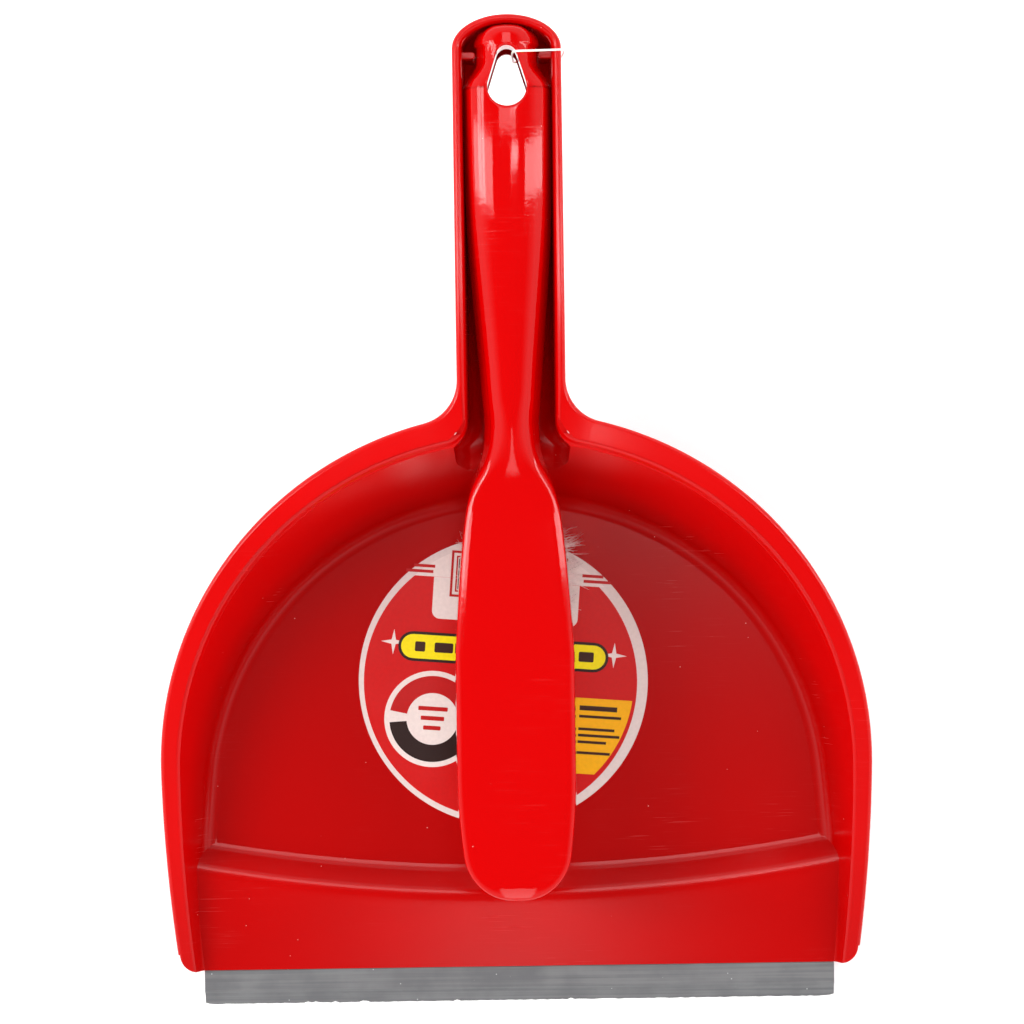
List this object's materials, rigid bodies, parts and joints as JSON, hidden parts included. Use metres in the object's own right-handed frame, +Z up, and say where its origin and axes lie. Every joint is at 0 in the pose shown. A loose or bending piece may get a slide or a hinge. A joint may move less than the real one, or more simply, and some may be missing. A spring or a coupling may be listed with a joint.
{
  "type": "dust pan and brush set",
  "caption": "Dust pan with a rubber lip and a trough handle, holding a hand brush with bristle tufts nested face down in it.",
  "frame": {"origin": "middle of the footprint, on the surface that the pan lies on", "axes": "+Z up, +Y from the rubber lip towards the handles, +X to the right when the set is seen from above with its handles at the top"},
  "size_m": [0.232, 0.32, 0.0674],
  "materials": {
    "pan_plastic": "gloss moulded polypropylene, red",
    "brush_plastic": "gloss moulded polypropylene, red",
    "lip_rubber": "soft matte grey rubber",
    "sticker_film": "printed satin film",
    "bristle_fibre": "translucent off-white synthetic bristle",
    "tie_nylon": "translucent white nylon"
  },
  "bodies": {
    "pan": {"dust_pan": "pan_plastic", "rubber_lip": "lip_rubber", "pan_sticker": "sticker_film", "nylon_tie": "tie_nylon"},
    "brush": {"brush_body": "brush_plastic", "tuft_01": "bristle_fibre", "tuft_02": "bristle_fibre", "tuft_03": "bristle_fibre", "tuft_04": "bristle_fibre", "tuft_05": "bristle_fibre", "tuft_06": "bristle_fibre", "tuft_07": "bristle_fibre", "tuft_08": "bristle_fibre", "tuft_09": "bristle_fibre", "tuft_10": "bristle_fibre", "tuft_11": "bristle_fibre", "tuft_12": "bristle_fibre", "tuft_13": "bristle_fibre", "tuft_14": "bristle_fibre", "tuft_15": "bristle_fibre", "tuft_16": "bristle_fibre", "tuft_17": "bristle_fibre", "tuft_18": "bristle_fibre", "tuft_19": "bristle_fibre", "tuft_20": "bristle_fibre", "tuft_21": "bristle_fibre", "tuft_22": "bristle_fibre", "tuft_23": "bristle_fibre", "tuft_24": "bristle_fibre", "tuft_25": "bristle_fibre", "tuft_26": "bristle_fibre", "tuft_27": "bristle_fibre", "tuft_28": "bristle_fibre", "tuft_29": "bristle_fibre", "tuft_30": "bristle_fibre", "tuft_31": "bristle_fibre", "tuft_32": "bristle_fibre", "tuft_33": "bristle_fibre", "tuft_34": "bristle_fibre", "tuft_35": "bristle_fibre", "tuft_36": "bristle_fibre", "tuft_37": "bristle_fibre", "tuft_38": "bristle_fibre", "tuft_39": "bristle_fibre", "tuft_40": "bristle_fibre", "tuft_41": "bristle_fibre", "tuft_42": "bristle_fibre", "tuft_43": "bristle_fibre", "tuft_44": "bristle_fibre", "tuft_45": "bristle_fibre", "tuft_46": "bristle_fibre", "tuft_47": "bristle_fibre", "tuft_48": "bristle_fibre", "tuft_49": "bristle_fibre", "tuft_50": "bristle_fibre", "tuft_51": "bristle_fibre"}
  },
  "joints": [
    {"name": "brush_lift", "type": "slide", "parent": "pan", "child": "brush", "axis": [0, 0, 1], "range_m": [0, 0.1], "deforming": ["nylon_tie"]}
  ]
}
